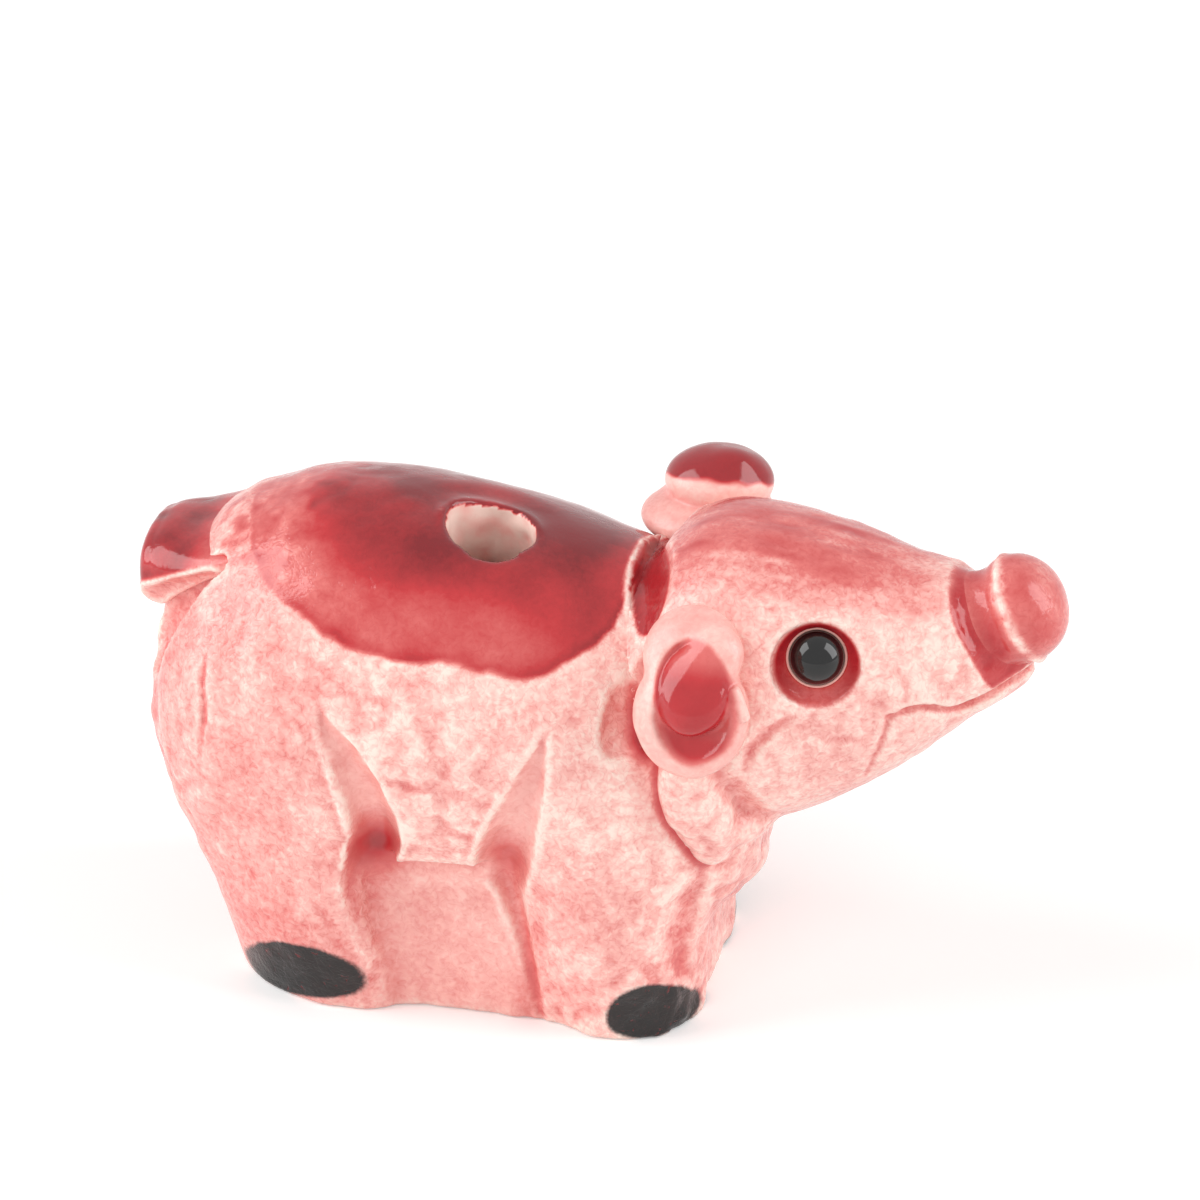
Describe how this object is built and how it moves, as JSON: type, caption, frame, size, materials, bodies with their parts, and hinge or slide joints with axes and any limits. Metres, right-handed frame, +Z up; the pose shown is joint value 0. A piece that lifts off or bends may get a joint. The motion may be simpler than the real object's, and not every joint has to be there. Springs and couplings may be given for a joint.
{
  "type": "pig figurine",
  "caption": "Small hollow glazed ceramic pig with an upturned domed snout, drooping cupped ears, glass bead eyes, a stub tail and a round hole through the back.",
  "frame": {"origin": "on the ground, below the middle of the figure's overall box", "axes": "+X towards the snout, +Y to the pig's left, +Z up"},
  "size_m": [0.0694, 0.0296, 0.039],
  "materials": {
    "pink_glazed_clay": "thin satin glaze over pale clay",
    "red_glazed_clay": "thick glossy red glaze",
    "black_glass": "polished black glass",
    "cement": "matte pale cement"
  },
  "bodies": {
    "root": {"back_shell": "red_glazed_clay", "belly_shell": "pink_glazed_clay", "head": "pink_glazed_clay", "snout": "red_glazed_clay", "right_ear": "pink_glazed_clay", "left_ear": "pink_glazed_clay", "tail": "red_glazed_clay", "right_eye": "black_glass", "left_eye": "black_glass", "right_eye_cement": "cement", "left_eye_cement": "cement"}
  },
  "joints": []
}
